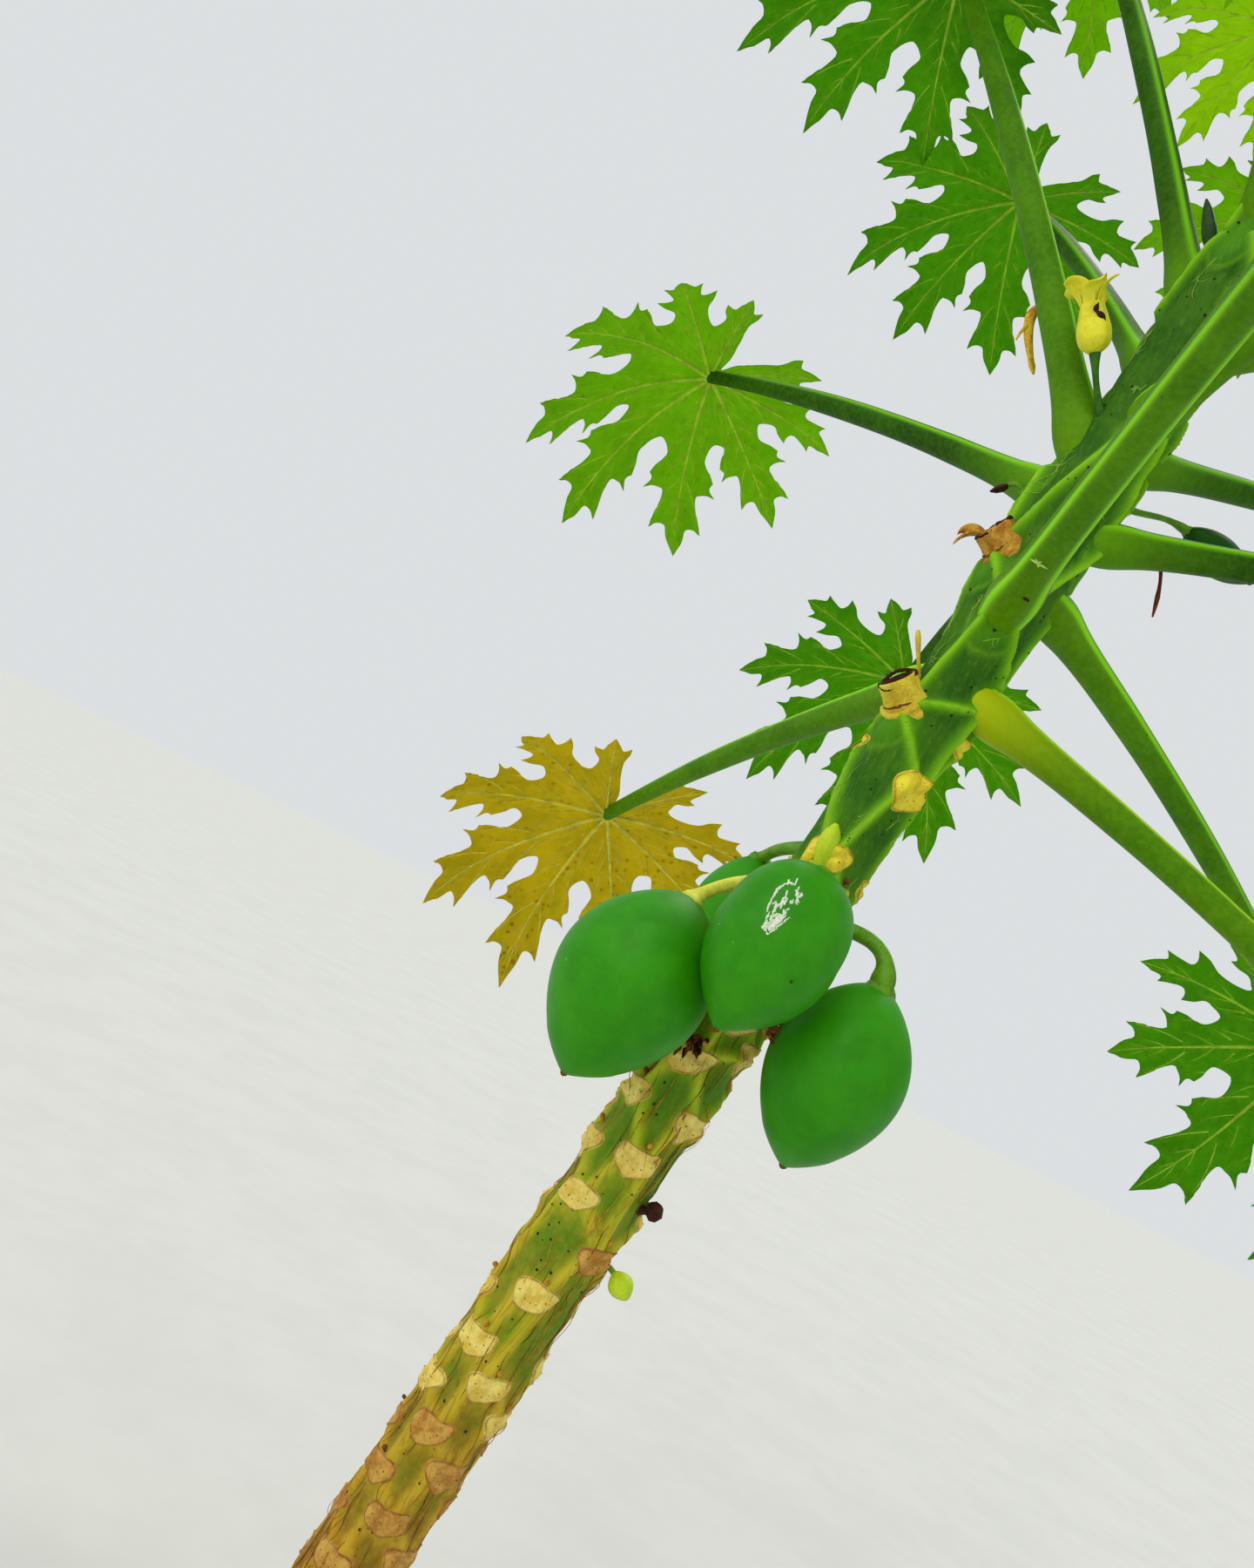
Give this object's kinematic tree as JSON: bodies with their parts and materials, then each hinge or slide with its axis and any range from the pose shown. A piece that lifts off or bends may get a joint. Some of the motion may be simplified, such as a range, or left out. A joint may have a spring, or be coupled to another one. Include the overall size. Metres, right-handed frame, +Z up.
{
  "type": "papaya tree",
  "caption": "Young fruiting papaya tree: a leaning scarred trunk, long-stalked palmate leaves in a spiral crown, and hanging green fruit.",
  "frame": {"origin": "middle of the flat cut under the trunk, at ground level", "axes": "+Z up along the height of the tree; -Y is the side the picture looks from, +X its right"},
  "size_m": [1.5402, 1.9301, 2.4813],
  "materials": {
    "bark": "matt, fibrous, scarred by shed leaves",
    "stalk": "smooth, slightly waxy",
    "blade": "soft, quilted between pale veins",
    "fruit": "smooth unripe skin, satin",
    "petal": "thick waxy petals"
  },
  "bodies": {
    "root": {"trunk": "bark", "leaf_stalk_00": "stalk", "leaf_blade_00": "blade", "leaf_stalk_01": "stalk", "leaf_blade_01": "blade", "leaf_stalk_02": "stalk", "leaf_blade_02": "blade", "leaf_stalk_03": "stalk", "leaf_blade_03": "blade", "leaf_stalk_06": "stalk", "leaf_blade_06": "blade", "leaf_stalk_08": "stalk", "leaf_blade_08": "blade", "leaf_stalk_09": "stalk", "leaf_blade_09": "blade", "leaf_stalk_10": "stalk", "leaf_blade_10": "blade", "leaf_stalk_11": "stalk", "leaf_blade_11": "blade", "leaf_stalk_12": "stalk", "leaf_blade_12": "blade", "leaf_stalk_13": "stalk", "leaf_blade_13": "blade", "leaf_stalk_14": "stalk", "leaf_blade_14": "blade", "leaf_stalk_16": "stalk", "leaf_blade_16": "blade", "leaf_stalk_17": "stalk", "leaf_blade_17": "blade", "leaf_stalk_18": "stalk", "leaf_blade_18": "blade", "leaf_stalk_19": "stalk", "leaf_blade_19": "blade", "leaf_stalk_20": "stalk", "leaf_blade_20": "blade", "leaf_stalk_21": "stalk", "leaf_blade_21": "blade", "leaf_stalk_22": "stalk", "leaf_blade_22": "blade", "leaf_stalk_24": "stalk", "leaf_blade_24": "blade", "leaf_stalk_25": "stalk", "leaf_blade_25": "blade", "fruit_left": "fruit", "fruit_front": "fruit", "fruit_right": "fruit", "fruit_back": "fruit", "young_fruit": "fruit", "flower": "petal", "flower_bud": "petal", "stub_lower": "stalk", "stub_upper": "stalk"}
  },
  "joints": []
}
